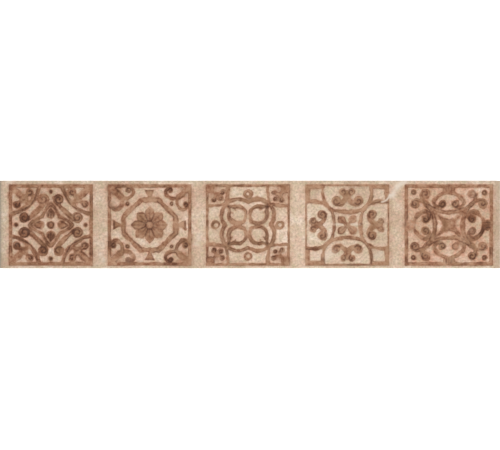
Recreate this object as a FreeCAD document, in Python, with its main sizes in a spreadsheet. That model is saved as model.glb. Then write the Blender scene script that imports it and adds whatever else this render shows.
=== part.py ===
"""A Victorian border tile: one fired slab with five carved panels in a row.

Each panel is a square frame with its own sunk ornament, and the back has
shallow keying grooves.  Lengths are in millimetres.  The tile lies on its
back, face up, with its centre over the origin and its length along X.
Points of a panel's drawing are in hundredths of the half panel, so that 100
is the outer edge of the frame in both directions.
"""
import FreeCAD
import Part
import Sketcher
import math
import os

DIMENSIONS = [
    ("tile_length", 400.0, "overall length"),
    ("tile_width", 70.0, "overall width"),
    ("tile_thickness", 9.0, "from the back to the face"),
    ("arris_radius", 0.8, "eased edges of the face and of the corners"),
    ("back_bevel", 0.6, "bevel round the back"),
    ("key_count", 6, "keying grooves in the back"),
    ("key_width", 4.5, "width of a keying groove"),
    ("key_depth", 0.8, "depth of a keying groove"),
    ("key_margin", 7.5, "plain strip round the keying grooves"),
    ("carving_depth", 1.2, "depth of the sunk ornament"),
    ("smooth_radius", 4.6, "smallest radius that is cut as a true arc"),
    ("chord_turn", 26, "degrees to a chord where the radius is smaller"),
    ("flat_bow", 0.1, "bow under which a large arc is cut straight"),
    ("face_border", 2.3, "plain strip between a panel and the long edge"),
    ("panel_gap", 11.6, "plain strip between two panels"),
    ("panel_drop", 0.35, "panels below the middle of the face"),
    ("panel_shift_1", 0.8, "panel off its even place, each one set by hand"),
    ("panel_shift_2", -0.3, ""),
    ("panel_shift_3", -1.7, ""),
    ("panel_shift_4", -2.3, ""),
    ("panel_shift_5", -1.1, ""),
    ("panel_extra_1", -0.6, "panel longer than the even length"),
    ("panel_extra_2", -0.9, ""),
    ("panel_extra_3", -0.8, ""),
    ("panel_extra_4", -0.7, ""),
    ("panel_extra_5", 2.8, ""),
    ("frame_width_1", 3.0, "sunk frame of the panel"),
    ("frame_width_2", 2.9, ""),
    ("frame_width_3", 2.1, ""),
    ("frame_width_4", 1.6, ""),
    ("frame_width_5", 2.95, ""),
    ("ogee_width", 2.7, "first panel: pointed cross round the buds"),
    ("strap_width", 3.7, "straps between the volutes"),
    ("quarter_width", 3.3, "quarter circles across the corners"),
    ("volute_radius", 4.3, "rolled ends of the straps"),
    ("bud_radius", 3.5, "buds in the cross"),
    ("boss_radius", 2.9, "disc in the middle"),
    ("trefoil_radius", 3.3, "body of the trefoils"),
    ("lobe_radius", 3.2, "side lobes of the trefoils"),
    ("corner_leaf", 5.6, "leaf of the trefoils that fills the corner"),
    ("stalk_width", 3.2, "stalks of the trefoils"),
    ("stud_radius", 1.75, "single studs"),
    ("octagon_width", 3.9, "second panel: octagonal band"),
    ("petal_radius", 4.3, "broad petals of the rosette"),
    ("point_radius", 3.9, "pointed petals of the rosette"),
    ("rosette_radius", 7.2, "middle of the rosette, under the petals"),
    ("curl_width", 2.7, "scrolls in the corners"),
    ("curl_eye", 2.3, "eyes of the scrolls"),
    ("stem_width", 4.8, "stem out of the corner"),
    ("stem_root", 10.5, "corner filled under the stem, along the frame"),
    ("quatrefoil_width", 3.0, "third panel: quatrefoil band"),
    ("loop_width", 2.9, "pointed loops"),
    ("ring_radius", 3.7, "rings on the axes, outside"),
    ("ring_hole", 1.6, "rings on the axes, inside"),
    ("bar_width", 2.5, "bars that close the corners off"),
    ("block_side", 7.2, "square sunk in the corner"),
    ("dot_radius", 2.1, "dots of the corner sprigs"),
    ("sprig_width", 2.5, "stalks of the corner sprigs"),
    ("arch_width", 3.0, "fourth panel: arches"),
    ("corner_width", 3.9, "frame at the corners"),
    ("corner_reach", 14.0, "length of the wide corner"),
    ("fleur_width", 4.0, "arms of the double scrolls"),
    ("fleur_large", 3.8, "large rolled ends"),
    ("fleur_small", 2.8, "small rolled ends"),
    ("flower_middle", 2.6, "middle of the small flower"),
    ("flower_petal", 3.3, "petals of the small flower"),
    ("bow_width", 3.3, "fifth panel: bowed bands"),
    ("branch_width", 3.5, "branches to the corner volutes"),
    ("branch_eye", 3.7, "corner volutes"),
    ("lyre_width", 2.9, "lyre scrolls"),
    ("lyre_eye", 3.0, "eyes of the lyre scrolls"),
    ("clasp_width", 4.4, "bar of the clasps"),
    ("clasp_radius", 2.1, "lobes of the clasps"),
    ("pin_radius", 2.3, "studs in the corners"),
]

FOUR = [(turn, False) for turn in range(4)]
EIGHT = FOUR + [(turn, True) for turn in range(4)]
ONCE = FOUR[:1]
UP = FreeCAD.Vector(0, 0, 1)

document = FreeCAD.newDocument("border_tile")
sheet = document.addObject("Spreadsheet::Sheet", "sizes")
for row, (name, value, note) in enumerate(DIMENSIONS, start=1):
    sheet.set(f"A{row}", name)
    sheet.set(f"B{row}", str(value))
    sheet.set(f"C{row}", note)
    sheet.setAlias(f"B{row}", name)
document.recompute()
size = sheet.get


def line(start, end):
    return Part.LineSegment(start, end).toShape()


def arc(start, middle, end):
    return Part.Arc(start, middle, end).toShape()


def loop_face(edges):
    return Part.Face(Part.Wire(edges))


def drawn(edge):
    """The curves that draw an edge: one arc, or chords round a small radius."""
    first, last = edge.ParameterRange
    chords = 1
    if edge.Curve.TypeId == "Part::GeomCircle":
        radius = edge.Curve.Radius
        turn = edge.Length / radius
        bow = radius * (1 - math.cos(min(turn, math.pi) / 2))
        if radius < size("smooth_radius"):
            chords = max(1, round(math.degrees(turn) / size("chord_turn")))
        elif bow > size("flat_bow"):
            middle = edge.valueAt((first + last) / 2)
            return [Part.Arc(edge.valueAt(first), middle, edge.valueAt(last))]
    step = (last - first) / chords
    stops = [edge.valueAt(first + step * stop) for stop in range(chords)]
    stops.append(edge.Vertexes[0].Point if edge.isClosed() else edge.valueAt(last))
    return [Part.LineSegment(start, end) for start, end in zip(stops, stops[1:])]


class Panel:
    """Places the drawing of one panel and gathers the faces to be sunk."""

    def __init__(self, length, width, frame_width):
        self.half_length = length / 2
        self.half_width = width / 2
        outer = self.rectangle(0)
        self.faces = [outer.cut(self.rectangle(frame_width))]

    def rectangle(self, inset):
        length = 2 * (self.half_length - inset)
        width = 2 * (self.half_width - inset)
        corner = FreeCAD.Vector(-length / 2, -width / 2, 0)
        return Part.makePlane(length, width, corner)

    def place(self, point, turn, flip):
        """A point mirrored in the diagonal, turned by quarters, stretched."""
        x, y = reversed(point) if flip else point
        for quarter in range(turn):
            x, y = -y, x
        return FreeCAD.Vector(
            x / 100 * self.half_length, y / 100 * self.half_width, 0)

    def images(self, points, copies):
        for turn, flip in copies:
            yield [self.place(point, turn, flip) for point in points]

    def chain(self, path, copies):
        """Wires along arcs given as end, middle, end, middle, end."""
        for places in self.images(path, copies):
            edges = []
            for first in range(0, len(places) - 2, 2):
                edges.append(arc(*places[first:first + 3]))
            yield Part.Wire(edges)

    def band(self, path, width, copies=FOUR):
        """A band along arcs, round-ended, or a ring where the path closes."""
        for spine in self.chain(path, copies):
            face = Part.Face(spine.makeOffset2D(width / 2))
            if spine.isClosed():
                face = face.cut(Part.Face(spine.makeOffset2D(-width / 2)))
            self.faces.append(face)

    def patch(self, path):
        """A shape bounded by arcs."""
        for spine in self.chain(path, ONCE):
            self.faces.append(Part.Face(spine))

    def bar(self, ends, width, copies=FOUR):
        """A straight round-ended bar."""
        for start, end in self.images(ends, copies):
            along = (end - start).normalize() * (width / 2)
            across = FreeCAD.Vector(-along.y, along.x, 0)
            self.faces.append(loop_face([
                line(start - across, end - across),
                arc(end - across, end + along, end + across),
                line(end + across, start + across),
                arc(start + across, start - along, start - across),
            ]))

    def disc(self, centre, radius, copies=FOUR, hole=0):
        for (middle,) in self.images([centre], copies):
            face = loop_face([Part.Circle(middle, UP, radius).toShape()])
            if hole:
                face = face.cut(loop_face([Part.Circle(middle, UP, hole).toShape()]))
            self.faces.append(face)

    def leaf(self, ends, width, copies=FOUR):
        """Two arcs between two points."""
        for start, end in self.images(ends, copies):
            middle = (start + end) / 2
            along = (end - start).normalize() * (width / 2)
            across = FreeCAD.Vector(-along.y, along.x, 0)
            self.faces.append(loop_face([
                arc(start, middle - across, end),
                arc(end, middle + across, start),
            ]))

    def drop(self, tip, centre, radius, copies=FOUR):
        """A round bud drawn out to a point."""
        for point, middle in self.images([tip, centre], copies):
            outward = middle - point
            reach = outward.Length
            heading = math.atan2(-outward.y, -outward.x)
            spread = math.acos(radius / reach)
            sides = []
            for angle in (heading + spread, heading - spread):
                side = FreeCAD.Vector(math.cos(angle), math.sin(angle), 0)
                sides.append(middle + side * radius)
            crown = middle + outward.normalize() * radius
            self.faces.append(loop_face([
                line(point, sides[0]),
                arc(sides[0], crown, sides[1]),
                line(sides[1], point),
            ]))

    def polygon(self, points, copies=FOUR, hollow=0):
        """A flat-sided shape, or with hollow a band of that width inside it."""
        for places in self.images(points, copies):
            outline = Part.makePolygon(places + places[:1])
            face = Part.Face(outline)
            if hollow:
                face = face.cut(Part.Face(outline.makeOffset2D(-hollow, 2)))
            self.faces.append(face)

    def outline(self):
        """Curves round everything that is sunk, for a sketch."""
        region = self.faces[0].multiFuse(self.faces[1:]).common(self.rectangle(0))
        curves = []
        for edge in region.Edges:
            if len(region.ancestorsOfType(edge, Part.Face)) > 1:
                continue
            curves.extend(drawn(edge))
        return curves


def cross_of_buds(panel):
    """Four buds in a pointed cross, straps with volutes, corner trefoils."""
    panel.disc((0, 0), size("boss_radius"), ONCE)
    panel.drop((0, 42), (0, 26), size("bud_radius"))
    panel.band([(0, 51), (14.3, 35.5), (20.4, 20.4), (35.5, 14.3), (51, 0)], size("ogee_width"))
    panel.band([(15, 53.5), (33.2, 33.2), (53.5, 15)], size("strap_width"))
    panel.disc((18.2, 63), size("volute_radius"), EIGHT)
    panel.band([(27, 95), (50.5, 50.5), (95, 27)], size("quarter_width"))
    panel.disc((64, 64), size("trefoil_radius"))
    panel.bar([(50.5, 50.5), (64, 64)], size("stalk_width"))
    panel.bar([(64, 64), (50, 80.5)], size("stalk_width"), EIGHT)
    panel.disc((50, 80.5), size("lobe_radius"), EIGHT)
    panel.leaf([(60, 60), (96, 96)], size("corner_leaf"))
    panel.disc((0, 82), size("stud_radius"))


def octagon_rosette(panel):
    """An eight-petalled rosette in an octagon, wedges and corner scrolls."""
    octagon = []
    for turn in range(4):
        for x, y in ((67.5, 22.3), (22.3, 67.5)):
            for quarter in range(turn):
                x, y = -y, x
            octagon.append((x, y))
    panel.polygon(octagon, ONCE, size("octagon_width"))
    panel.drop((0, 45.5), (0, 29.5), size("point_radius"))
    panel.drop((31, 31), (19.5, 19.5), size("petal_radius"))
    panel.disc((0, 0), size("rosette_radius"), ONCE)
    panel.polygon([(-3.6, 64), (3.6, 64), (4.6, 72), (12, 86), (-12, 86), (-4.6, 72)])
    root = 100 - 100 * size("stem_root") / panel.half_width
    panel.polygon([(100, 100), (root, 100), (100, root)])
    panel.bar([(94, 94), (69, 69)], size("stem_width"))
    panel.band(
        [(70, 68), (55, 64.6), (42.5, 71), (38, 80), (43.5, 88.5)],
        size("curl_width"), EIGHT)
    panel.disc((50.3, 85.2), size("curl_eye"), EIGHT)
    panel.disc((52.3, 52.3), size("stud_radius"))


def looped_quatrefoil(panel):
    """A quatrefoil of four pointed loops, rings, and sprigs in closed corners."""
    panel.band([(0, 54.5), (51.2, 51.2), (54.5, 0)], size("quatrefoil_width"))
    panel.band(
        [(48, 48), (43.5, 38.5), (44.5, 30), (41.5, 13), (24, 4.2), (15, 5.8), (8.5, 8.5),
         (5.8, 15), (4.2, 24), (13, 41.5), (30, 44.5), (38.5, 43.5), (48, 48)],
        size("loop_width"))
    panel.disc((0, 76), size("ring_radius"), hole=size("ring_hole"))
    panel.band([(47, 96), (47.5, 78), (50.5, 55)], size("bar_width"), EIGHT)
    inner = 100 - 100 * size("block_side") / panel.half_width
    panel.polygon([(100, 100), (inner, 100), (inner, inner), (100, inner)])
    panel.band([(79, 79), (69, 75.5), (60.5, 80.5)], size("sprig_width"), EIGHT)
    panel.disc((60.5, 80.5), size("dot_radius"), EIGHT)
    panel.disc((64.5, 64.5), size("dot_radius"))


def four_arches(panel):
    """Four arches springing from the sides, each with a double scroll."""
    panel.band(
        [(56, 97), (57.8, 78), (55, 62), (46.5, 46.8), (33, 36), (0, 31),
         (-33, 36), (-46.5, 46.8), (-55, 62), (-57.8, 78), (-56, 97)],
        size("arch_width"))
    reach = 100 - 100 * size("corner_reach") / panel.half_width
    depth = 100 - 100 * size("corner_width") / panel.half_width
    panel.polygon([
        (100, 100), (reach, 100), (reach, depth),
        (depth, depth), (depth, reach), (100, reach)])
    panel.disc((0, 0), size("flower_middle"), ONCE)
    panel.drop((0, 0), (13.3, 13.3), size("flower_petal"))
    panel.drop((22, 22), (13.3, 13.3), size("flower_petal"))
    panel.band([(0, 73), (9, 57.5), (25, 51.8)], size("fleur_width"), EIGHT)
    panel.disc((26, 58.8), size("fleur_large"), EIGHT)
    panel.bar([(0, 68), (10, 80.5)], size("fleur_width"), EIGHT)
    panel.bar([(0, 68), (0, 80)], size("fleur_width"))
    panel.disc((10, 81), size("fleur_small"), EIGHT)


def lyre_saltire(panel):
    """A pointed saltire, bowed bands with corner volutes, and lyre scrolls."""
    panel.patch([
        (29, 29), (0, 18), (-29, 29), (-18, 0), (-29, -29), (0, -18), (29, -29), (18, 0), (29, 29)])
    panel.band([(-50, 50), (0, 31), (50, 50)], size("bow_width"))
    panel.band([(45, 45), (57.5, 58.5), (60, 74)], size("branch_width"), EIGHT)
    panel.disc((52.3, 75.8), size("branch_eye"), EIGHT)
    panel.band(
        [(15, 46.5), (29.5, 46), (33.5, 56.5), (25, 69), (0, 79.5),
         (-25, 69), (-33.5, 56.5), (-29.5, 46), (-15, 46.5)],
        size("lyre_width"))
    panel.disc((14.2, 52.3), size("lyre_eye"), EIGHT)
    panel.bar([(0, 94), (0, 82)], size("clasp_width"))
    panel.disc((7.5, 86), size("clasp_radius"), EIGHT)
    panel.disc((79.5, 79.5), size("pin_radius"))


MOTIFS = [cross_of_buds, octagon_rosette, looped_quatrefoil, four_arches, lyre_saltire]

body = document.addObject("PartDesign::Body", "border_tile")
body.Label = "border_tile"
ground = [plane for plane in body.Origin.OriginFeatures if plane.Role == "XY_Plane"][0]


def new_sketch(name):
    sketch = body.newObject("Sketcher::SketchObject", name)
    sketch.AttachmentSupport = [(ground, "")]
    sketch.MapMode = "FlatFace"
    return sketch


def rectangle_sketch(name, length, width, long_rule, wide_rule, side_rule=None):
    """A rectangle on the ground with its size, and its place to one side, by rule."""
    sketch = new_sketch(name)
    x = length / 2
    y = width / 2
    corners = [
        FreeCAD.Vector(-x, -y, 0), FreeCAD.Vector(x, -y, 0),
        FreeCAD.Vector(x, y, 0), FreeCAD.Vector(-x, y, 0)]
    for side in range(4):
        sketch.addGeometry(Part.LineSegment(corners[side], corners[(side + 1) % 4]))
    for side in range(4):
        sketch.addConstraint(Sketcher.Constraint("Coincident", side, 2, (side + 1) % 4, 1))
        direction = "Vertical" if side % 2 else "Horizontal"
        sketch.addConstraint(Sketcher.Constraint(direction, side))
    sketch.addConstraint(Sketcher.Constraint("Symmetric", 0, 1, 2, 1, -1, 1))
    along = sketch.addConstraint(Sketcher.Constraint("DistanceX", 0, 1, 0, 2, length))
    across = sketch.addConstraint(Sketcher.Constraint("DistanceY", 1, 1, 1, 2, width))
    sketch.setExpression(f"Constraints[{along}]", long_rule)
    sketch.setExpression(f"Constraints[{across}]", wide_rule)
    if side_rule:
        sketch.setExpression("AttachmentOffset.Base.y", side_rule)
    return sketch


slab_sketch = rectangle_sketch(
    "slab_outline", size("tile_length"), size("tile_width"),
    "sizes.tile_length", "sizes.tile_width")
slab = body.newObject("PartDesign::Pad", "slab")
slab.Profile = slab_sketch
slab.setExpression("Length", "sizes.tile_thickness")
document.recompute()

eased = []
for number, edge in enumerate(slab.Shape.Edges, start=1):
    if max(vertex.Z for vertex in edge.Vertexes) > size("tile_thickness") / 2:
        eased.append(f"Edge{number}")
arris = body.newObject("PartDesign::Fillet", "arris")
arris.Base = (slab, eased)
arris.setExpression("Radius", "sizes.arris_radius")
document.recompute()

bevelled = []
for number, edge in enumerate(arris.Shape.Edges, start=1):
    if max(vertex.Z for vertex in edge.Vertexes) < size("back_bevel") / 2:
        bevelled.append(f"Edge{number}")
bevel = body.newObject("PartDesign::Chamfer", "bevel")
bevel.Base = (arris, bevelled)
bevel.setExpression("Size", "sizes.back_bevel")
document.recompute()

key_span = "(sizes.tile_width - 2 * sizes.key_margin - sizes.key_width)"
key_sketch = rectangle_sketch(
    "key_outline", size("tile_length") - 2 * size("key_margin"), size("key_width"),
    "sizes.tile_length - 2 * sizes.key_margin", "sizes.key_width", f"-{key_span} / 2")
key = body.newObject("PartDesign::Pocket", "key")
key.Profile = key_sketch
key.Reversed = True
key.setExpression("Length", "sizes.key_depth")
document.recompute()
keys = body.newObject("PartDesign::LinearPattern", "keys")
keys.Originals = [key]
keys.Direction = (key_sketch, ["V_Axis"])
keys.setExpression("Length", key_span)
keys.setExpression("Occurrences", "sizes.key_count")
body.Tip = keys
document.recompute()

pitch = size("tile_length") / len(MOTIFS)
panel_width = size("tile_width") - 2 * size("face_border")
for number, motif in enumerate(MOTIFS, start=1):
    panel_length = pitch - size("panel_gap") + size(f"panel_extra_{number}")
    panel = Panel(panel_length, panel_width, size(f"frame_width_{number}"))
    motif(panel)
    sketch = new_sketch(f"{motif.__name__}_outline")
    sketch.addGeometry(panel.outline(), False)
    place = (number - 0.5) / len(MOTIFS) - 0.5
    sketch.setExpression(
        "AttachmentOffset.Base.x", f"{place} * sizes.tile_length + sizes.panel_shift_{number}")
    sketch.setExpression("AttachmentOffset.Base.y", "-sizes.panel_drop")
    sketch.setExpression("AttachmentOffset.Base.z", "sizes.tile_thickness")
    carving = body.newObject("PartDesign::Pocket", motif.__name__)
    carving.Profile = sketch
    carving.setExpression("Length", "sizes.carving_depth")
    document.recompute()

for thing in document.Objects:
    if {"Invalid", "Error"} & set(thing.State):
        raise RuntimeError(f"{thing.Name} is {thing.State}")
if body.Shape.isNull() or not body.Shape.isValid() or len(body.Shape.Solids) != 1:
    raise RuntimeError("the tile is not one sound solid")

os.makedirs("parts", exist_ok=True)
body.Shape.exportStep(f"parts/{body.Label}.step")
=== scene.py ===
"""Looks of the Victorian border tile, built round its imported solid.

The face is modelled as one fine surface that follows the solid's carving, with
eased edges, hand-worked floors, the fine cuts of the scrolls, buds and petals, and
a few ridges left standing.  Its sides and grooved back close it.  Lengths are in
metres where a comment names no other unit.
"""
import math

import bmesh
import bpy
import numpy as np
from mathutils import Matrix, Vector
from mathutils.bvhtree import BVHTree


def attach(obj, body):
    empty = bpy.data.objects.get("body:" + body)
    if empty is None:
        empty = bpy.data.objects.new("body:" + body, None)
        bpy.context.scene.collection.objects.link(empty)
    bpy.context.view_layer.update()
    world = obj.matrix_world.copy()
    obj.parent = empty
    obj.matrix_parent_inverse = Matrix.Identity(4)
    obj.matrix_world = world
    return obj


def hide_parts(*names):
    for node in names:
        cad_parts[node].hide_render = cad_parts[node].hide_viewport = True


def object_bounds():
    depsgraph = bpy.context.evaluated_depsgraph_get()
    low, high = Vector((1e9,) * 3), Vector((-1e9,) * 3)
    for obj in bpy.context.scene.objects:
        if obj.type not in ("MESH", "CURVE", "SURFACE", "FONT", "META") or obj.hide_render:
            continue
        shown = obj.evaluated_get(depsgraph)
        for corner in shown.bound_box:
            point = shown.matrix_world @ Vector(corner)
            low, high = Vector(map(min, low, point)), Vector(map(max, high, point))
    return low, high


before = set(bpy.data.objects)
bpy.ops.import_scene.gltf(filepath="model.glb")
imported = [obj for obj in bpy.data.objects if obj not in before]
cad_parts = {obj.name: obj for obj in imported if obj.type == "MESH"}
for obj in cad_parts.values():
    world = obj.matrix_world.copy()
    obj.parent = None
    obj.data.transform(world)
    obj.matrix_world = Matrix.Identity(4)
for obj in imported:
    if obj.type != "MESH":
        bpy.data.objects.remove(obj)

CAD_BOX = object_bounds()
NODE = "border_tile"
MM = 0.001
SEED = 7

# The modelled face: the spacing of its carved stretches, the steps of its plain ones and of its
# arris, and the angle from which an edge stays sharp
CELL = 0.54 * MM
PLAIN_STEPS = 4
ARRIS_STEPS = 3
SHARP_ANGLE = math.radians(65)

# What counts as level, as a gap between panels, as far away and as no length at all
LEVEL_SLACK = 0.02 * MM
PANEL_GAP_LEAST = 5 * MM
FAR = 10 * MM
HAIR = 0.001 * MM

# Section of the carving: its lip outside the outline, its runs inwards from there, its floor and
# swell as shares of the depth, and how often it is softened
LIP = 0.35 * MM
WALL_RUN = 0.70 * MM
SWELL_RUN = 2.6 * MM
FLOOR_SHARE = 0.74
SWELL_SHARE = 0.20
FACE_SOFTENED = 1

# How far the hand strays from the outline and, as a share, from the depth
WOBBLE = 0.22 * MM
WOBBLE_CELL = 4.5 * MM
DEPTH_DRIFT = 0.16
DEPTH_CELL = 14 * MM

# Fine cuts in the floor of the carving, and the share of its depth that a vein loses
CUT_WIDTH = 0.60 * MM
SPIRAL_CUT = 0.34 * MM
VEIN_CUT = 0.30 * MM
FAINT_CUT = 0.18 * MM
VEIN_FADE = 0.5
CLOCKWISE = -1
ANTICLOCKWISE = 1

# The cut at the foot of the walls, and the press at which it and the fine cuts start and are full
FOOT_CUT = 0.22 * MM
FOOT_PLACE = 0.60 * MM
FOOT_CELL = 7 * MM
FOOT_PRESSED = (0.0, 0.7)
CUTS_PRESSED = (-1.6, 0.2)

# The stain's edge: how far it fades out over the outline and in from it, and how far it strays
CREEP_OUT = 0.38 * MM
CREEP_IN = 0.30 * MM
CREEP_DRIFT = 0.50 * MM
RAG = 0.50 * MM
RAG_CELL = 2.6 * MM

# It is held back outside a panel.  At a panel's edge it strays by a share, and further in wholly
EDGE_HELD = 0.30 * MM
RULED_SHARE = 0.3
RULED_RUN = (1 * MM, 5 * MM)

# The stain on each panel from the left, and how far past a panel its tone reaches
PANEL_CREEPS_MM = (0.15, 0.02, 0.08, 0.0, 0.10)
PANEL_TONES = (0.50, 0.40, 0.30, 0.25, 0.42)
PANEL_WASHES = (0.24, 0.22, 0.12, 0.02, 0.48)
PANEL_MARGIN = 2 * MM

# Stain in the cuts and pooled round them, the tinge of the ground, and what a pale run takes off
LINE_GAIN = 1.3
POOLED = 0.2
POOL_SOFTENED = 3
TINGE_LEAST = 0.50
TINGE_BY_TONE = 0.6
TINGE_SOFTENED = 6
PALE_BARE = 0.8

# Places where the stain lies heavier or lighter: x, y and reach in mm, and share
HEAVY_PLACES = [
    # Cross of buds
    (-186.5, -0.5, 3.0, 0.9), (-131.0, -0.5, 3.0, 0.3), (-159.0, 25.7, 3.0, 0.4),
    (-159.0, -27.8, 3.0, 0.4), (-181.0, 5.0, 6.0, 0.3), (-181.0, -7.0, 6.0, 0.3),
    (-186.0, -17.0, 4.5, 0.6), (-187.5, 16.0, 4.0, 0.3), (-153.0, 20.6, 5.0, 0.25),
    (-159.5, -10.0, 5.0, 0.3), (-140.0, 15.0, 9.0, -0.25), (-159.0, 8.5, 4.0, 0.2),
    (-165.5, -20.8, 5.0, 0.3), (-153.7, -20.4, 5.0, 0.2),
    # Octagon rosette
    (-111.0, 29.0, 7.0, 0.3), (-63.0, 26.0, 5.5, 0.35), (-52.0, 16.5, 4.5, 0.3),
    (-109.0, -17.0, 5.0, 0.4), (-63.0, -27.0, 5.5, 0.4), (-51.0, -16.5, 4.5, 0.2),
    (-107.0, 0.0, 5.0, 0.35), (-81.0, -27.0, 5.0, 0.3), (-81.0, 20.5, 8.0, -0.3),
    (-59.0, -0.5, 8.0, -0.25),
    # Looped quatrefoil
    (-30.4, 26.6, 7.0, 0.25), (24.0, -27.3, 7.0, 0.3), (-30.0, -21.6, 6.0, 0.2),
    (15.2, 16.2, 5.0, 0.3),
    # Four arches
    (87.2, -19.2, 4.5, 0.3), (99.0, -9.0, 5.0, 0.25), (57.0, 6.0, 5.0, 0.2),
    # Lyre saltire
    (189.6, 0.0, 5.0, 0.35), (149.0, 18.0, 5.0, 0.35), (185.6, -4.0, 4.0, 0.5),
    (176.8, 6.5, 5.0, 0.4), (141.6, 5.7, 5.0, 0.3), (159.2, 0.0, 6.0, 0.2),
]

# Places where the cuts are pressed deepest, given in the same way
PRESSED_PLACES = [
    # Cross of buds
    (-180.8, 6.0, 7.0, 0.8), (-144.0, 1.0, 6.0, 0.8), (-159.0, -9.0, 5.0, 0.6),
    (-187.0, -16.0, 5.0, 0.8), (-159.0, 8.5, 5.0, 1.2), (-165.5, -20.8, 5.0, 0.8),
    (-152.5, 21.0, 5.0, 0.8),
    # Octagon rosette
    (-93.6, 0.0, 5.0, 0.8), (-87.0, 9.7, 4.5, 0.8), (-66.4, -0.7, 4.5, 0.8),
    (-74.0, -9.0, 4.0, 0.5),
    # Looped quatrefoil
    (-16.0, 15.0, 6.0, 0.6), (-16.0, -11.0, 6.0, 0.8), (13.6, 11.3, 6.0, 0.8),
    (8.0, -17.0, 5.0, 0.5),
    # Four arches
    (70.4, 4.9, 3.0, 0.9), (70.4, -3.9, 3.0, 0.9), (108.8, -25.7, 3.0, 0.9),
    (52.0, -19.2, 4.0, 0.8),
    # Lyre saltire
    (185.6, -3.0, 5.0, 0.9), (153.6, 17.0, 5.0, 0.6), (143.0, 6.5, 4.0, 0.7),
    (172.0, 3.0, 4.0, 0.6),
]

# Places where the stain is worn off, given in the same way
WORN_PLACES = [
    (-107.8, 17.4, 3.3, 0.95), (-96.0, -26.0, 4.0, 0.35), (129.2, 0.5, 4.5, 0.8),
    (176.0, 25.0, 4.0, 0.45), (176.0, -4.7, 3.5, 0.3), (165.6, -17.6, 3.0, 0.5),
]

# Pale runs in the glaze, each narrowing to its end: places, first and last width in mm, strength
PALE_RUNS = [
    ([(124.0, 34.8), (120.8, 32.6), (117.2, 30.0), (115.4, 26.0), (113.4, 22.0)],
     2.3, 1.4, 0.85),
    ([(111.4, 23.4), (110.7, 21.4), (109.2, 19.6), (107.4, 18.6), (105.4, 18.0)],
     1.0, 0.8, 1.0),
    ([(-116.5, -28.6), (-120.5, -22.4)], 1.6, 0.8, 0.5),
    ([(-40.0, -8.0), (-43.5, -16.0)], 1.6, 0.9, 0.5),
    ([(60.5, -25.5), (67.0, -20.5)], 3.4, 2.6, 0.35),
    ([(101.0, -25.5), (105.0, -22.5)], 2.6, 2.2, 0.3),
    ([(67.0, 0.2), (74.0, 0.2)], 1.2, 0.7, 0.5),
    ([(88.0, 0.2), (81.0, 0.2)], 1.2, 0.7, 0.4),
]

# The picture, in pixels: the tile just overfills its width and lies just above its middle
PICTURE_WIDTH = 500
PICTURE_MIDDLE_ROW = 225.0
TILE_SPAN = 500.7
TILE_MIDDLE_ROW = 224.55
LENS_MM = 100
SENSOR_MM = 36


def tile_arrays():
    """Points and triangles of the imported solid."""
    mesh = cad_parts[NODE].data
    points = np.empty(3 * len(mesh.vertices))
    mesh.vertices.foreach_get("co", points)
    mesh.calc_loop_triangles()
    corners = np.empty(3 * len(mesh.loop_triangles), dtype=int)
    mesh.loop_triangles.foreach_get("vertices", corners)
    return points.reshape(-1, 3), corners.reshape(-1, 3)


POINTS, TRIANGLES = tile_arrays()
HALF_LENGTH, HALF_WIDTH, FACE = CAD_BOX[1]
UPPER = POINTS[POINTS[:, 2] > FACE / 2]
SUNK = UPPER[:, 2].min()
DEPTH = FACE - SUNK
ON_FACE = POINTS[POINTS[:, 2] > FACE - LEVEL_SLACK]
FLAT_LENGTH, FLAT_WIDTH = ON_FACE[:, :2].max(axis=0)
ARRIS = HALF_LENGTH - FLAT_LENGTH
ON_BACK = POINTS[POINTS[:, 2] < LEVEL_SLACK]
BACK_BEVEL = HALF_LENGTH - ON_BACK[:, 0].max()


def panel_boxes():
    """Left, right, low and high edge of each carved panel."""
    floor = UPPER[UPPER[:, 2] < SUNK + LEVEL_SLACK]
    across = np.sort(floor[:, 0])
    breaks = np.where(np.diff(across) > PANEL_GAP_LEAST)[0]
    lefts = across[np.append(0, breaks + 1)]
    rights = across[np.append(breaks, len(across) - 1)]
    low, high = floor[:, 1].min(), floor[:, 1].max()
    return [(left, right, low, high) for left, right in zip(lefts, rights)]


PANELS = panel_boxes()


def key_edges():
    """Reach along the tile, depth, and the two edges across it of each keying groove."""
    inner = POINTS[np.abs(POINTS[:, 0]) < ON_BACK[:, 0].max() - LEVEL_SLACK]
    roof = inner[(inner[:, 2] > LEVEL_SLACK) & (inner[:, 2] < FACE / 2)]
    roof = roof[np.abs(roof[:, 1]) < ON_BACK[:, 1].max() - LEVEL_SLACK]
    edges = np.unique(roof[:, 1].round(6))
    return roof[:, 0].max(), roof[:, 2].max(), edges.reshape(-1, 2)


def stretches(stops):
    """Positions along stops that bound plain and carved stretches in turn."""
    places = [stops[:1]]
    for number, (start, end) in enumerate(zip(stops, stops[1:])):
        steps = round((end - start) / CELL) if number % 2 else PLAIN_STEPS
        places.append(np.linspace(start, end, steps + 1)[1:])
    return np.concatenate(places)


def smoothstep(low, high, value):
    """Zero up to low, one from high on, and eased between them."""
    share = np.clip((value - low) / (high - low), 0, 1)
    return share * share * (3 - 2 * share)


def drift(x, y, cell, seed):
    """Smooth random values from -1 to 1, about a cell apart."""
    column = (x + HALF_LENGTH) / cell
    row = (y + HALF_WIDTH) / cell
    across = int(column.max()) + 2
    along = int(row.max()) + 2
    lattice = np.random.default_rng(seed).uniform(-1, 1, (along + 1, across + 1))
    i = row.astype(int)
    j = column.astype(int)
    s = smoothstep(0, 1, row - i)
    t = smoothstep(0, 1, column - j)
    near = lattice[i, j] * (1 - t) + lattice[i, j + 1] * t
    far = lattice[i + 1, j] * (1 - t) + lattice[i + 1, j + 1] * t
    return near * (1 - s) + far * s


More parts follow.
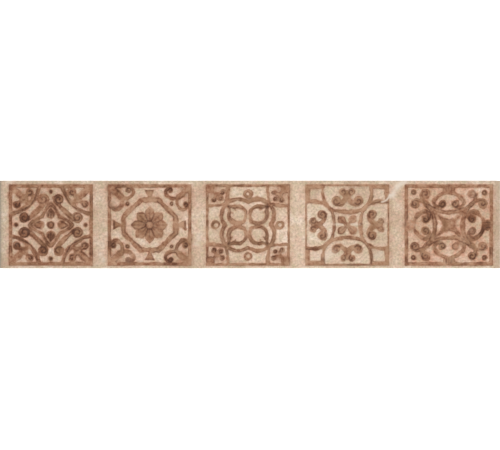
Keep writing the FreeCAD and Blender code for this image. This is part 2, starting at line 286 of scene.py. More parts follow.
def soften(field, times):
    """A field blurred by repeated averaging with its neighbours."""
    for again in range(times):
        padded = np.pad(field, 1, mode="edge")
        rows = (padded[:-2] + 2 * padded[1:-1] + padded[2:]) / 4
        field = (rows[:, :-2] + 2 * rows[:, 1:-1] + rows[:, 2:]) / 4
    return field


def panel_inset(x, y, box):
    """How far each place lies within a panel's edges, below zero outside them."""
    left, right, low, high = box
    return np.minimum.reduce([x - left, right - x, y - low, high - y])


def outline_distance(x, y):
    """Distance of each place from the carving's outline, positive where it is sunk."""
    heights = POINTS[TRIANGLES][:, :, 2]
    highest = heights.max(axis=1)
    lowest = heights.min(axis=1)
    upright = (highest > FACE - LEVEL_SLACK) & (np.abs(lowest - SUNK) < LEVEL_SLACK)
    whole = BVHTree.FromPolygons(POINTS.tolist(), TRIANGLES.tolist())
    walls = BVHTree.FromPolygons(POINTS.tolist(), TRIANGLES[upright].tolist())
    middle = (FACE + SUNK) / 2
    down = Vector((0, 0, -1))
    reach = CREEP_OUT + CREEP_DRIFT + RAG
    distance = np.full(x.shape, -FAR)
    for box in PANELS:
        for row, column in np.argwhere(panel_inset(x, y, box) > -reach):
            place = Vector((x[row, column], y[row, column], middle))
            away = walls.find_nearest(place)[3]
            hit = whole.ray_cast(place + Vector((0, 0, DEPTH)), down)[0]
            inside = hit is not None and hit.z < middle
            distance[row, column] = away if inside else -away
    return distance


def line_distance(x, y, first, last):
    """Distance of each place from a straight line, and how far along the line it is."""
    run = np.subtract(last, first)
    share = ((x - first[0]) * run[0] + (y - first[1]) * run[1]) / max(run @ run, HAIR ** 2)
    share = np.clip(share, 0, 1)
    return np.hypot(x - first[0] - share * run[0], y - first[1] - share * run[1]), share


# Copies of a mark about a panel's middle: quarter turns, and whether a flip about the diagonal
# comes first.  Of a mark on the upper arm, UPRIGHT gives those on the upper and lower arms, on
# both sides of the middle line, and SIDEWAYS those on the left and right arms.
FOUR = [(turn, False) for turn in range(4)]
EIGHT = FOUR + [(turn, True) for turn in range(4)]
ONCE = FOUR[:1]
UPRIGHT = [(0, False), (2, False), (1, True), (3, True)]
SIDEWAYS = [(1, False), (3, False), (0, True), (2, True)]


class Carving:
    """Fine cuts, ridges and smears of stain on one panel, on the part of the face it covers."""

    def __init__(self, box, x, y, cuts, ridges, smears):
        left, right, low, high = box
        self.middle = np.array([(left + right) / 2, (low + high) / 2])
        self.half = np.array([(right - left) / 2, (high - low) / 2])
        columns = np.where((x[0] >= left) & (x[0] <= right))[0]
        rows = np.where((y[:, 0] >= low) & (y[:, 0] <= high))[0]
        window = np.s_[rows[0]:rows[-1] + 1, columns[0]:columns[-1] + 1]
        self.x = x[window]
        self.y = y[window]
        self.cuts = cuts[window]
        self.ridges = ridges[window]
        self.smears = smears[window]

    def place(self, point, turn, flip):
        """A drawing point, in hundredths of the half panel, on the tile."""
        across, along = reversed(point) if flip else point
        for quarter in range(turn):
            across, along = -along, across
        return self.middle + self.half * (across / 100, along / 100)

    def deepen(self, away, cut):
        """Cuts a line into the floor, where nothing deeper is cut."""
        np.maximum(self.cuts, cut * np.exp(-(away / CUT_WIDTH) ** 2), out=self.cuts)

    def spread(self, field, path, reach, share, copies):
        """Raises a field at one place or along a path."""
        for image in copies:
            places = [self.place(point, *image) for point in path]
            for first, last in zip(places, places[1:] or places):
                away = line_distance(self.x, self.y, first, last)[0]
                np.maximum(field, share * np.exp(-(away / reach) ** 2), out=field)

    def smear(self, path, reach, share, copies=FOUR):
        """Stain wiped over one place or along a path, carved or not."""
        self.spread(self.smears, path, reach, share, copies)

    def ridge(self, path, reach, share, copies=FOUR):
        """A line in the carving left standing, which the stain leaves free."""
        self.spread(self.ridges, path, reach, share, copies)

    def vein(self, path, copies=FOUR, cut=VEIN_CUT):
        """A cut along straight stretches that fades towards its end."""
        for image in copies:
            places = [self.place(point, *image) for point in path]
            for number, (first, last) in enumerate(zip(places, places[1:])):
                away, share = line_distance(self.x, self.y, first, last)
                run = (number + share) / (len(path) - 1)
                self.deepen(away, cut * (1 - VEIN_FADE * run))

    def circle(self, centre, radius, copies=ONCE, cut=VEIN_CUT):
        """A round cut."""
        for image in copies:
            middle = self.place(centre, *image)
            away = np.abs(np.hypot(self.x - middle[0], self.y - middle[1]) - radius)
            self.deepen(away, cut)

    def spiral(self, centre, entry, radius, turns, hand, copies=EIGHT, cut=SPIRAL_CUT):
        """A rolled end: a cut that winds in from where the band enters."""
        for turn, flip in copies:
            middle = self.place(centre, turn, flip)
            toward = self.place(entry, turn, flip) - middle
            way = -hand if flip else hand
            reach = np.hypot(self.x - middle[0], self.y - middle[1])
            angle = np.arctan2(self.y - middle[1], self.x - middle[0])
            start = math.atan2(toward[1], toward[0])
            wound = np.mod(way * (angle - start), 2 * math.pi) / (2 * math.pi)
            away = np.full(reach.shape, FAR)
            for lap in range(math.ceil(turns) + 1):
                along = wound + lap
                line = radius * (1 - along / turns)
                gap = np.where(along <= turns, np.abs(reach - line), FAR)
                away = np.minimum(away, gap)
            self.deepen(away, cut)


# The motifs' points are in hundredths of the half panel, from its middle
def cross_of_buds(carving):
    """First panel: four buds in an ogee, with straps and rolled ends round it."""
    carving.spiral((18.2, 63), (26, 55), 3.4 * MM, 1.2, CLOCKWISE)
    carving.spiral((50, 80.5), (56, 71), 2.4 * MM, 1.0, CLOCKWISE)
    carving.circle((18.2, 63), 4.0 * MM, [(1, False), (2, True), (3, False)], SPIRAL_CUT)
    carving.circle((0, 0), 2.2 * MM)
    carving.circle((0, 82), 0.4 * MM, FOUR, SPIRAL_CUT)
    carving.smear([(0, 82)], 1.9 * MM, 0.8)
    carving.smear([(0, 45)], 2.6 * MM, 0.6)
    carving.vein([(0, 20), (0, 42)], UPRIGHT[:2], SPIRAL_CUT)
    carving.vein([(6, 22), (2.6, 38)], UPRIGHT)
    carving.vein([(8, 26), (6, 33), (0, 47)], SIDEWAYS, SPIRAL_CUT)
    carving.smear([(20.4, 20.4), (35.5, 14.3), (51, 0)], 1.5 * MM, 0.8, EIGHT)
    carving.ridge([(14, 42), (24.5, 24.5), (42, 14)], 0.5 * MM, 0.7)
    carving.vein([(24, 24), (40, 17.5), (57, 0)], EIGHT)
    carving.vein([(17.5, 17.5), (31, 11.5), (45, 0)], EIGHT, FAINT_CUT)
    carving.vein([(27, 53), (53, 27)], cut=FAINT_CUT)
    carving.vein([(46, 50), (35.5, 70), (29.5, 95)], EIGHT)
    carving.vein([(62, 62), (57, 73)], EIGHT, FAINT_CUT)
    carving.smear([(62, 62), (90, 90)], 3.0 * MM, 0.8)
    carving.smear([(50, 80.5)], 2.8 * MM, 0.7, EIGHT)


def octagon_rosette(carving):
    """Second panel: an eight-petalled rosette in an octagon, with curls in the corners."""
    carving.circle((0, 0), 3.2 * MM, cut=SPIRAL_CUT)
    carving.vein([(9.5, 4), (19, 8), (27, 11)], EIGHT, SPIRAL_CUT)
    carving.vein([(0, 14), (0, 38)], cut=FAINT_CUT)
    carving.vein([(9.5, 9.5), (28, 28)], cut=FAINT_CUT)
    carving.vein([(18, 58), (58, 18)], [FOUR[0], FOUR[2]], SPIRAL_CUT)
    carving.vein([(-11, 84), (11, 84)])
    carving.spiral((50.3, 85.2), (40, 82), 2.0 * MM, 1.0, CLOCKWISE)
    carving.circle((52.3, 52.3), 1.1 * MM, FOUR, SPIRAL_CUT)
    carving.smear([(52.3, 52.3)], 2.0 * MM, 0.8)
    carving.smear([(84, 84)], 6.0 * MM, 0.75)
    carving.circle((50.3, 85.2), 3.9 * MM, FOUR[1:2])


def looped_quatrefoil(carving):
    """Third panel: four barbed loops in a lobed band, with a cell in each corner."""
    carving.spiral((60.5, 80.5), (68, 77), 1.7 * MM, 1.0, CLOCKWISE)
    carving.circle((64.5, 64.5), 1.0 * MM, FOUR)
    carving.vein([(47, 47), (41.5, 37), (41.5, 30), (44, 24), (40, 13)], EIGHT, SPIRAL_CUT)
    carving.ridge([(29, 29), (39, 39)], 0.8 * MM, 1.0)
    carving.ridge([(0, 8), (0, 38)], 0.7 * MM, 0.85, ONCE)
    carving.smear([(42, 32), (36.5, 29.5)], 0.8 * MM, 0.9, EIGHT)
    carving.smear([(75, 75)], 7.5 * MM, 0.6)
    carving.smear([(90, 90)], 4.5 * MM, 0.9)


def four_arches(carving):
    """Fourth panel: four arches, each with a fleur, round a small flower."""
    carving.spiral((26, 58.8), (17, 55), 3.2 * MM, 1.1, ANTICLOCKWISE)
    carving.spiral((10, 81), (8, 73), 2.3 * MM, 1.0, CLOCKWISE)
    carving.vein([(2, 2), (22, 22)], cut=FAINT_CUT)
    carving.vein([(-20.5, 20), (-20.5, 8)], ONCE, SPIRAL_CUT)
    carving.vein([(-20.5, -21), (-20.5, -9)], ONCE, SPIRAL_CUT)
    carving.vein([(0, 62), (0, 77)], cut=FAINT_CUT)
    carving.vein([(97, 55), (78, 57), (62, 54), (48, 47)], ONCE, SPIRAL_CUT)
    carving.vein([(57, -94), (58.5, -78), (55.5, -62), (47, -47)], ONCE, SPIRAL_CUT)
    carving.vein([(-97, -59), (-78, -60), (-62, -57)], ONCE, SPIRAL_CUT)


def lyre_saltire(carving):
    """Fifth panel: four lyres on a saltire, with a star in the middle."""
    carving.spiral((52.3, 75.8), (60, 66), 3.1 * MM, 1.2, ANTICLOCKWISE)
    carving.spiral((14.2, 52.3), (22, 48), 2.8 * MM, 1.2, CLOCKWISE)
    carving.circle((79.5, 79.5), 1.3 * MM, FOUR)
    carving.vein([(0, -19), (0, -11)], ONCE, SPIRAL_CUT)
    carving.vein([(24, 0), (12, -1)], ONCE, SPIRAL_CUT)
    carving.ridge([(-11, 20.5), (0, 17), (11, 20.5)], 1.0 * MM, 0.9)
    carving.smear([(18, 18), (34, 34)], 2.0 * MM, 0.95)
    carving.smear([(16, 51), (21, 47), (27, 44)], 1.3 * MM, 0.9, EIGHT)
    carving.vein([(33, 57), (31, 49), (25, 45)], EIGHT, FAINT_CUT)
    carving.vein([(45, 50), (31, 41.5), (16, 36.5)], EIGHT)
    carving.vein([(56, 56), (38, 38)], cut=FAINT_CUT)
    carving.vein([(0, 96), (0, 81)], cut=FAINT_CUT)
    carving.vein([(5.5, 92), (6.5, 83)], EIGHT)


MOTIFS = [cross_of_buds, octagon_rosette, looped_quatrefoil, four_arches, lyre_saltire]


def pale_runs(x, y):
    """Strength of the pale runs."""
    strength = np.zeros(x.shape)
    for places, widest, narrowest, share_at_most in PALE_RUNS:
        points = np.array(places) * MM
        widths = np.linspace(widest, narrowest, len(points)) * MM
        for first, last, wide, narrow in zip(points, points[1:], widths, widths[1:]):
            away, share = line_distance(x, y, first, last)
            width = wide + (narrow - wide) * share
            strength = np.maximum(strength, share_at_most * np.exp(-(away / width) ** 2))
    return strength


def patches(x, y, places):
    """The sum of soft round patches, each at its place, reach and share."""
    total = np.zeros(x.shape)
    for across, along, reach, share in places:
        away = np.hypot(x - across * MM, y - along * MM)
        total += share * np.exp(-(away / (reach * MM)) ** 2)
    return total


def stain_edge(x, y, distance):
    """Distance of each place from the stain's ragged edge, positive within it."""
    ragged = CREEP_DRIFT * drift(x, y, FOOT_CELL, SEED + 3) + RAG * drift(x, y, RAG_CELL, SEED + 4)
    creep = distance - EDGE_HELD + RULED_SHARE * ragged
    for box, panel_creep in zip(PANELS, PANEL_CREEPS_MM):
        inset = panel_inset(x, y, box)
        creep[inset > 0] += panel_creep * MM + EDGE_HELD
        creep += (1 - RULED_SHARE) * ragged * smoothstep(*RULED_RUN, inset)
    return creep


def stain_coats(x, y, creep, cuts, smears, sunk):
    """How the stain lies on the face: its cover, lines, tone and tinge, and the pale runs."""
    tone = patches(x, y, HEAVY_PLACES)
    wash = np.zeros(x.shape)
    for box, panel_tone, panel_wash in zip(PANELS, PANEL_TONES, PANEL_WASHES):
        tone[(x > box[0] - PANEL_MARGIN) & (x < box[1] + PANEL_MARGIN)] += panel_tone
        wash[panel_inset(x, y, box) > 0] = panel_wash
    pale = pale_runs(x, y)
    kept = (1 - PALE_BARE * pale) * (1 - patches(x, y, WORN_PLACES)) * sunk
    stain = np.maximum(smoothstep(-CREEP_OUT, CREEP_IN, creep), smears) * kept
    line = np.clip(LINE_GAIN * cuts / SPIRAL_CUT, 0, 1) * kept
    tone += POOLED * soften(line, POOL_SOFTENED)
    tinge = soften(stain, TINGE_SOFTENED) * (TINGE_LEAST + TINGE_BY_TONE * tone)
    tinge = np.clip(tinge + soften(wash, TINGE_SOFTENED), 0, 1)
    return {"stain": stain, "line": line, "tone": tone, "tinge": tinge, "pale": pale}


def carved_face(x, y):
    """How far the face lies below its level, and how the stain lies on it."""
    distance = outline_distance(x, y) + WOBBLE * drift(x, y, WOBBLE_CELL, SEED)
    creep = stain_edge(x, y, distance)
    cuts = np.zeros(x.shape)
    ridges = np.zeros(x.shape)
    smears = np.zeros(x.shape)
    for motif, box in zip(MOTIFS, PANELS):
        motif(Carving(box, x, y, cuts, ridges, smears))
    sunk = 1 - ridges
    wall = smoothstep(-LIP, WALL_RUN, distance) * sunk
    foot = FOOT_CUT * np.exp(-((distance - FOOT_PLACE) / CUT_WIDTH) ** 2)
    pressed = drift(x, y, FOOT_CELL, SEED + 1) + patches(x, y, PRESSED_PLACES)
    foot *= smoothstep(*FOOT_PRESSED, pressed)
    cuts = np.maximum(cuts * smoothstep(*CUTS_PRESSED, pressed), foot)
    cuts *= np.maximum(wall, smears * sunk)
    swell = SWELL_SHARE * smoothstep(WALL_RUN, SWELL_RUN, distance)
    level = DEPTH * (1 + DEPTH_DRIFT * drift(x, y, DEPTH_CELL, SEED + 2))
    below = soften(level * (FLOOR_SHARE * wall - swell) + cuts, FACE_SOFTENED)
    return np.clip(below, 0, DEPTH), stain_coats(x, y, creep, cuts, smears, sunk)


def loft(bm, edges, length, width, level):
    """Draws a rim out to a new size and level, and gives its new edges."""
    made = bmesh.ops.extrude_edge_only(bm, edges=edges)["geom"]
    verts = [item for item in made if isinstance(item, bmesh.types.BMVert)]
    reach = Vector(map(max, zip(*(vert.co for vert in verts))))
    bmesh.ops.scale(bm, vec=(length / reach.x, width / reach.y, 1), verts=verts)
    for vert in verts:
        vert.co.z = level
    return [item for item in made if isinstance(item, bmesh.types.BMEdge) and item.is_boundary]


def grooved_back(bm, rim):
    """Closes the back and sinks its keying grooves."""
    back = bmesh.ops.edgeloop_fill(bm, edges=rim)["faces"]
    reach, depth, edges = key_edges()
    planes = [((0, y, 0), (0, 1, 0)) for y in edges.ravel()]
    planes += [((side * reach, 0, 0), (1, 0, 0)) for side in (-1, 1)]
    for place, normal in planes:
        parts = set(back)
        for face in back:
            parts.update(face.edges)
            parts.update(face.verts)
        split = bmesh.ops.bisect_plane(bm, geom=list(parts), plane_co=place, plane_no=normal)
        back = [item for item in split["geom"] if isinstance(item, bmesh.types.BMFace)]
    grooves = []
    for face in back:
        middle = face.calc_center_median()
        within = np.any((edges[:, 0] < middle.y) & (middle.y < edges[:, 1]))
        if within and abs(middle.x) < reach:
            grooves.append(face)
    for roof in bmesh.ops.extrude_discrete_faces(bm, faces=grooves)["faces"]:
        bmesh.ops.translate(bm, vec=(0, 0, depth), verts=roof.verts)


def build_tile():
    """The whole tile as one closed mesh."""
    panel_sides = np.ravel([box[:2] for box in PANELS])
    columns = stretches(np.array([-FLAT_LENGTH, *panel_sides, FLAT_LENGTH]))
    rows = stretches(np.array([-FLAT_WIDTH, *PANELS[0][2:], FLAT_WIDTH]))
    x, y = np.meshgrid(columns, rows)
    below, coats = carved_face(x, y)

    bm = bmesh.new()
    bmesh.ops.create_grid(bm, x_segments=len(columns) - 1, y_segments=len(rows) - 1, size=1)
    layers = {name: bm.verts.layers.float.new(name) for name in coats}
    grid = sorted(bm.verts, key=lambda vert: (round(vert.co.y, 6), vert.co.x))
    for vert, place in zip(grid, np.ndindex(x.shape)):
        vert.co = (x[place], y[place], FACE - below[place])
        for name, layer in layers.items():
            vert[layer] = coats[name][place]

    rim = [edge for edge in bm.edges if edge.is_boundary]
    for step in range(1, ARRIS_STEPS + 1):
        angle = math.pi / 2 * step / ARRIS_STEPS
        out = ARRIS * math.sin(angle) - HAIR
        drop = ARRIS * (1 - math.cos(angle))
        rim = loft(bm, rim, FLAT_LENGTH + out, FLAT_WIDTH + out, FACE - drop)
    glazed = len(bm.faces)
    rim = loft(bm, rim, HALF_LENGTH - HAIR, HALF_WIDTH - HAIR, BACK_BEVEL)
    rim = loft(bm, rim, HALF_LENGTH - BACK_BEVEL, HALF_WIDTH - BACK_BEVEL, 0)
    grooved_back(bm, rim)
    bm.faces.index_update()
    bmesh.ops.recalc_face_normals(bm, faces=bm.faces)
    for face in bm.faces:
        face.smooth = True
        face.material_index = 0 if face.index < glazed else 1
    mesh = bpy.data.meshes.new("carved_tile")
    bm.to_mesh(mesh)
    bm.free()
    mesh.set_sharp_from_angle(angle=SHARP_ANGLE)
    tile = bpy.data.objects.new("carved_tile", mesh)
    bpy.context.scene.collection.objects.link(tile)
    return tile


def srgb(red, green, blue, alpha=1.0):
    """A colour as it is seen, on a scale to 255, as linear values."""
    linear = []
    for value in (red / 255, green / 255, blue / 255):
        linear.append(value / 12.92 if value <= 0.04045 else ((value + 0.055) / 1.055) ** 2.4)
    return (*linear, alpha)


# Glaze: the stops of its clouds, the patches in them and its pale runs
CREAM_CLOUDS = [
    (0.30, srgb(192, 164, 138)), (0.45, srgb(212, 187, 161)),
    (0.56, srgb(223, 200, 176)), (0.72, srgb(241, 224, 205)),
]
MOSS = srgb(196, 181, 146)
BLUSH = srgb(221, 184, 163)
PALE_CREAM = srgb(238, 223, 206)

# Darker, greyer ends of the tile, the narrow dark band at the left end being painted shade on its
# arris: side, mm from the end where the tint starts and is full, share, colour
END_SHADE_AND_TINTS = [
    (-1, 3.6, 0.9, 0.50, srgb(168, 152, 131)),
    # Painted shade on the arris at the left end
    (-1, 1.3, 0.4, 0.80, srgb(124, 106, 88)),
    (1, 5.5, 3.5, 0.45, srgb(184, 158, 132)),
]

# The glaze's brightness at its brightest place along the tile, and half a length from there
BRIGHTEST_PLACE = 30 * MM
BRIGHTNESS = (1.06, 0.94)

# Stain: the stops of its tone, its olive patches, its pools and cuts, and its tinge on the ground
STAIN_BROWNS = [
    (0.00, srgb(192, 151, 121)), (0.35, srgb(176, 131, 102)),
    (0.65, srgb(154, 105, 77)), (1.00, srgb(118, 73, 47)),
]
OLIVE_BROWN = srgb(148, 112, 78)
POOL_BROWN = srgb(112, 70, 46)
CUT_BROWN = srgb(80, 44, 25)
GROUND_TINGE = (0.925, 0.63, 0.54, 1)

# The cover of stain at its edge over which a pool rises, and over which it falls off again
POOL_RISE = (0.35, 0.75)
POOL_FALL = (1.0, 0.85)

# Bare clay and its grit, and the lower edge of the glaze on the sides, as shares of the thickness
CLAYS = [(0.3, srgb(186, 152, 124)), (0.5, srgb(201, 168, 139)), (0.7, srgb(213, 184, 156))]
GRIT = srgb(150, 112, 86)
GLAZE_FOOT = (0.60, 0.66)
GLAZE_STRAY = 1.4 * MM

GLAZE_SHINE = 0.3
GLAZE_ROUGHNESS = 0.45
STAIN_ROUGHNESS = 0.6
CLAY_ROUGHNESS = 0.85

# The range in which most of a noise lies, and a colour mix's sockets: share, colours and result
NOISE_RANGE = (0.3, 0.7)
MIX_INPUTS = (0, 6, 7)
MIX_OUTPUT = 2

# Studio: the floor's reach and finish, and the light from all round
FLOOR_REACH = 3
FLOOR_GREY = (0.9, 0.9, 0.9, 1)
FLOOR_ROUGHNESS = 0.9
FLOOR_GLOW = 0.58
SURROUND_GREY = (0.6, 0.6, 0.6, 1)
WHITE = (1, 1, 1, 1)
BLACK = (0, 0, 0, 1)


class Shading:
    """Adds and joins the nodes of a material or a group."""

    def __init__(self, tree):
        self.tree = tree

    def set(self, socket, value):
        """Joins another node's output to a socket, or gives it a plain value."""
        if isinstance(value, bpy.types.NodeSocket):
            self.tree.links.new(value, socket)
        else:
            socket.default_value = value

    def add(self, kind, inputs=(), **settings):
        """A new node with its settings and inputs."""
        node = self.tree.nodes.new(kind)
        for name, value in settings.items():
            setattr(node, name, value)
        for name, value in dict(inputs).items():
            self.set(node.inputs[name], value)
        return node

    def noise(self, place, scale, detail=2.0, roughness=0.5, distortion=0.0):
        """A cloudy value that changes over the surface."""
        return self.add("ShaderNodeTexNoise", {
            "Vector": place, "Scale": scale, "Detail": detail,
            "Roughness": roughness, "Distortion": distortion}).outputs["Fac"]

    def ramp(self, value, stops):
        """A colour between stops, each a position and its colour."""
        node = self.add("ShaderNodeValToRGB", {"Fac": value})
        elements = node.color_ramp.elements
        while len(elements) < len(stops):
            elements.new(0.5)
        for element, (position, colour) in zip(elements, stops):
            element.position = position
            element.color = colour
        return node.outputs["Color"]

    def grey(self, value, low, high, start=0.0, end=1.0):
        """A value from low to high, laid out from start to end and held beyond them."""
        return self.add("ShaderNodeMapRange", {
            "Value": value, "From Min": low, "From Max": high,
            "To Min": start, "To Max": end}).outputs["Result"]

    def vary(self, noise, start, end):
        """A noise laid out from start to end."""
        return self.grey(noise, *NOISE_RANGE, start, end)

    def patchy(self, place, scale, low, high, most=1.0, detail=2.0):
        """Patches of a noise: none up to low, the most from high on."""
        return self.grey(self.noise(place, scale, detail), low, high, 0, most)

    def math(self, operation, first, second=0.0):
        """Two values worked into one."""
        return self.add("ShaderNodeMath", {0: first, 1: second}, operation=operation).outputs[0]

    def mix(self, share, first, second, blend="MIX"):
        """A share of the second colour laid over the first."""
        node = self.add("ShaderNodeMix", data_type="RGBA", blend_type=blend)
        for number, value in zip(MIX_INPUTS, (share, first, second)):
            self.set(node.inputs[number], value)
        return node.outputs[MIX_OUTPUT]


def glaze_group():
    """The mottled cream of the glaze, darker towards the ends with painted shade on the left end's
    arris, shared by the face and the runs on the sides.
    """
    group = bpy.data.node_groups.new("cream_glaze", "ShaderNodeTree")
    group.interface.new_socket("Place", in_out="INPUT", socket_type="NodeSocketVector")
    group.interface.new_socket("Colour", in_out="OUTPUT", socket_type="NodeSocketColor")
    group.interface.new_socket("Grain", in_out="OUTPUT", socket_type="NodeSocketFloat")
    nodes = Shading(group)
    place = nodes.add("NodeGroupInput").outputs["Place"]
    clouds = nodes.noise(place, scale=55, detail=4, roughness=0.6, distortion=0.4)
    cream = nodes.ramp(clouds, CREAM_CLOUDS)
    moss = nodes.patchy(place, scale=300, low=0.44, high=0.64, most=0.5)
    cream = nodes.mix(moss, cream, MOSS)
    blush = nodes.patchy(place, scale=170, low=0.48, high=0.66, most=0.5)
    cream = nodes.mix(blush, cream, BLUSH)
    grain = nodes.noise(place, scale=560, detail=3, roughness=0.6)
    speckle = nodes.vary(grain, 0.75, 1.25)
    cream = nodes.mix(1.0, cream, speckle, "MULTIPLY")
    across = nodes.add("ShaderNodeSeparateXYZ", {"Vector": place}).outputs["X"]
    aside = nodes.math("ABSOLUTE", nodes.math("SUBTRACT", across, BRIGHTEST_PLACE))
    brightness = nodes.grey(aside, 0, HALF_LENGTH, *BRIGHTNESS)
    cream = nodes.mix(1.0, cream, brightness, "MULTIPLY")
    # The ends darken; the narrow dark band at the left end is painted shade on its arris
    for side, start, full, share, tint in END_SHADE_AND_TINTS:
        low = side * (HALF_LENGTH - start * MM)
        high = side * (HALF_LENGTH - full * MM)
        cream = nodes.mix(nodes.grey(across, low, high, 0, share), cream, tint)
    nodes.add("NodeGroupOutput", {"Colour": cream, "Grain": grain})
    return group


def stained_glaze(group):
    """Satin cream glaze with brown stain that lies in the carving."""
    material = bpy.data.materials.new("stained_glaze")
    material.use_nodes = True
    nodes = Shading(material.node_tree)
    shader = material.node_tree.nodes["Principled BSDF"]
    place = nodes.add("ShaderNodeTexCoord").outputs["Object"]
    coat = {name: nodes.add("ShaderNodeAttribute", attribute_name=name).outputs["Fac"]
            for name in ("stain", "line", "tone", "tinge", "pale")}
    glaze = nodes.add("ShaderNodeGroup", {"Place": place}, node_tree=group)
    wiped = nodes.noise(place, scale=120, detail=4, roughness=0.65)
    mottle = nodes.noise(place, scale=420, detail=3, roughness=0.6)

    heavy = nodes.math("ADD", coat["tone"], nodes.vary(wiped, -0.36, 0.36))
    heavy = nodes.math("ADD", heavy, nodes.vary(mottle, -0.34, 0.34))
    brown = nodes.ramp(heavy, STAIN_BROWNS)
    olive = nodes.patchy(place, scale=85, low=0.46, high=0.66, most=0.45)
    brown = nodes.mix(olive, brown, OLIVE_BROWN)
    rising = nodes.grey(coat["stain"], *POOL_RISE)
    falling = nodes.grey(coat["stain"], *POOL_FALL)
    pooled = nodes.patchy(place, scale=150, low=0.46, high=0.60)
    pooled = nodes.math("MULTIPLY", nodes.math("MULTIPLY", rising, falling), pooled)
    brown = nodes.mix(pooled, brown, POOL_BROWN)
    sunk_in = nodes.math("MULTIPLY", coat["line"], nodes.vary(mottle, 0.6, 1.0))
    by_tone = nodes.grey(coat["tone"], low=0, high=1, start=0.55, end=1.45)
    sunk_in = nodes.math("MULTIPLY", sunk_in, by_tone)
    brown = nodes.mix(sunk_in, brown, CUT_BROWN)

    tinge = nodes.math("MULTIPLY", coat["tinge"], nodes.vary(wiped, 0.5, 1.3))
    tinge = nodes.math("MULTIPLY", tinge, nodes.vary(mottle, 0.5, 1.5))
    ground = nodes.mix(tinge, glaze.outputs["Colour"], GROUND_TINGE, "MULTIPLY")
    ground = nodes.mix(coat["pale"], ground, PALE_CREAM)
    rubbed = nodes.grey(wiped, low=0.25, high=0.5, start=0.86, end=1.0)
    cover = nodes.math("MULTIPLY", coat["stain"], rubbed)
    nodes.set(shader.inputs["Base Color"], nodes.mix(cover, ground, brown))
    shader.inputs["Specular IOR Level"].default_value = GLAZE_SHINE
    roughness = nodes.grey(coat["stain"], 0, 1, GLAZE_ROUGHNESS, STAIN_ROUGHNESS)
    nodes.set(shader.inputs["Roughness"], roughness)
    bump = nodes.add("ShaderNodeBump", {
        "Height": glaze.outputs["Grain"], "Strength": 0.35, "Distance": 0.12 * MM})
    nodes.set(shader.inputs["Normal"], bump.outputs["Normal"])
    return material


def biscuit(group):
    """Bare fired clay of the sides and back, with the glaze run over the top of the sides."""
    material = bpy.data.materials.new("biscuit")
    material.use_nodes = True
    nodes = Shading(material.node_tree)
    shader = material.node_tree.nodes["Principled BSDF"]
    place = nodes.add("ShaderNodeTexCoord").outputs["Object"]
    glaze = nodes.add("ShaderNodeGroup", {"Place": place}, node_tree=group)
    clay = nodes.ramp(nodes.noise(place, scale=90, detail=5, roughness=0.65), CLAYS)
    grit = nodes.patchy(place, scale=2200, low=0.62, high=0.72, most=0.5, detail=1)
    clay = nodes.mix(grit, clay, GRIT)
    height = nodes.add("ShaderNodeSeparateXYZ", {"Vector": place}).outputs["Z"]
    stray = nodes.vary(nodes.noise(place, scale=160, detail=3), -GLAZE_STRAY, GLAZE_STRAY)
    foot_low, foot_high = (share * FACE for share in GLAZE_FOOT)
    glazed = nodes.grey(nodes.math("ADD", height, stray), foot_low, foot_high)
    nodes.set(shader.inputs["Base Color"], nodes.mix(glazed, clay, glaze.outputs["Colour"]))
    roughness = nodes.grey(glazed, 0, 1, CLAY_ROUGHNESS, GLAZE_ROUGHNESS)
    nodes.set(shader.inputs["Roughness"], roughness)
    bump = nodes.add("ShaderNodeBump", {
        "Height": nodes.noise(place, scale=1300, detail=3, roughness=0.6),
        "Strength": 0.5, "Distance": 0.25 * MM})
    nodes.set(shader.inputs["Normal"], bump.outputs["Normal"])
    return material


def seen_directly(nodes):
    """One for what the camera sees, itself or in a reflection or through glass."""
    path = nodes.add("ShaderNodeLightPath").outputs
    seen = nodes.math("MAXIMUM", path["Is Camera Ray"], path["Is Glossy Ray"])
    return nodes.math("MAXIMUM", seen, path["Is Transmission Ray"])


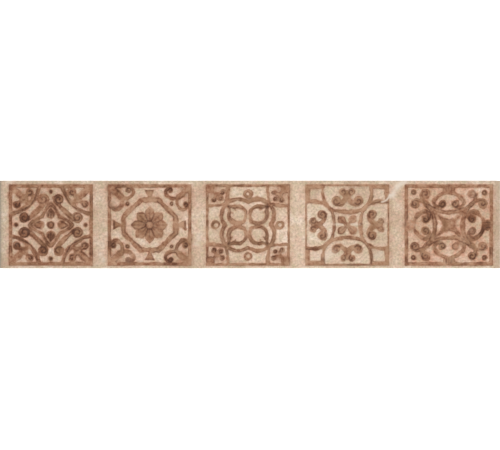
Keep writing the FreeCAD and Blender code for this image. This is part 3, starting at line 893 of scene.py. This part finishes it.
def white_floor():
    """A white floor under the tile, which keeps its shadow."""
    bm = bmesh.new()
    bmesh.ops.create_grid(bm, x_segments=1, y_segments=1, size=FLOOR_REACH)
    mesh = bpy.data.meshes.new("floor")
    bm.to_mesh(mesh)
    bm.free()
    floor = bpy.data.objects.new("floor", mesh)
    bpy.context.scene.collection.objects.link(floor)
    material = bpy.data.materials.new("white_floor")
    material.use_nodes = True
    nodes = Shading(material.node_tree)
    shader = material.node_tree.nodes["Principled BSDF"]
    shader.inputs["Base Color"].default_value = FLOOR_GREY
    shader.inputs["Roughness"].default_value = FLOOR_ROUGHNESS
    shader.inputs["Emission Strength"].default_value = FLOOR_GLOW
    glow = nodes.mix(seen_directly(nodes), BLACK, WHITE)
    nodes.set(shader.inputs["Emission Color"], glow)
    mesh.materials.append(material)
    return floor


def soft_box(name, place, size, power):
    """A square lamp that faces the tile."""
    light = bpy.data.lights.new(name, "AREA")
    light.shape = "SQUARE"
    light.size = size
    light.energy = power
    lamp = bpy.data.objects.new(name, light)
    lamp.location = place
    lamp.rotation_mode = "QUATERNION"
    lamp.rotation_quaternion = (-Vector(place)).to_track_quat("-Z", "Y")
    bpy.context.scene.collection.objects.link(lamp)


def studio():
    """Soft light from all round, a little stronger from the lower right."""
    world = bpy.data.worlds.new("studio")
    bpy.context.scene.world = world
    world.use_nodes = True
    nodes = Shading(world.node_tree)
    background = world.node_tree.nodes["Background"]
    surround = nodes.mix(seen_directly(nodes), SURROUND_GREY, WHITE)
    nodes.set(background.inputs["Color"], surround)
    soft_box("key_light", place=(0.9, -0.8, 1.1), size=0.9, power=9)
    soft_box("fill_light", place=(-0.9, 0.5, 1.1), size=1.2, power=4)


def camera():
    """Straight down on the face, which fills the picture's width."""
    data = bpy.data.cameras.new("camera")
    data.lens = LENS_MM
    data.sensor_width = SENSOR_MM
    pixel = 2 * HALF_LENGTH / TILE_SPAN
    viewer = bpy.data.objects.new("camera", data)
    viewer.location = (
        0, (TILE_MIDDLE_ROW - PICTURE_MIDDLE_ROW) * pixel,
        FACE + PICTURE_WIDTH * pixel * LENS_MM / SENSOR_MM)
    bpy.context.scene.collection.objects.link(viewer)
    bpy.context.scene.camera = viewer


tile = build_tile()
cream = glaze_group()
tile.data.materials.append(stained_glaze(cream))
tile.data.materials.append(biscuit(cream))
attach(tile, "root")
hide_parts(NODE)
white_floor()
studio()
camera()
bpy.context.scene.view_settings.view_transform = "Standard"
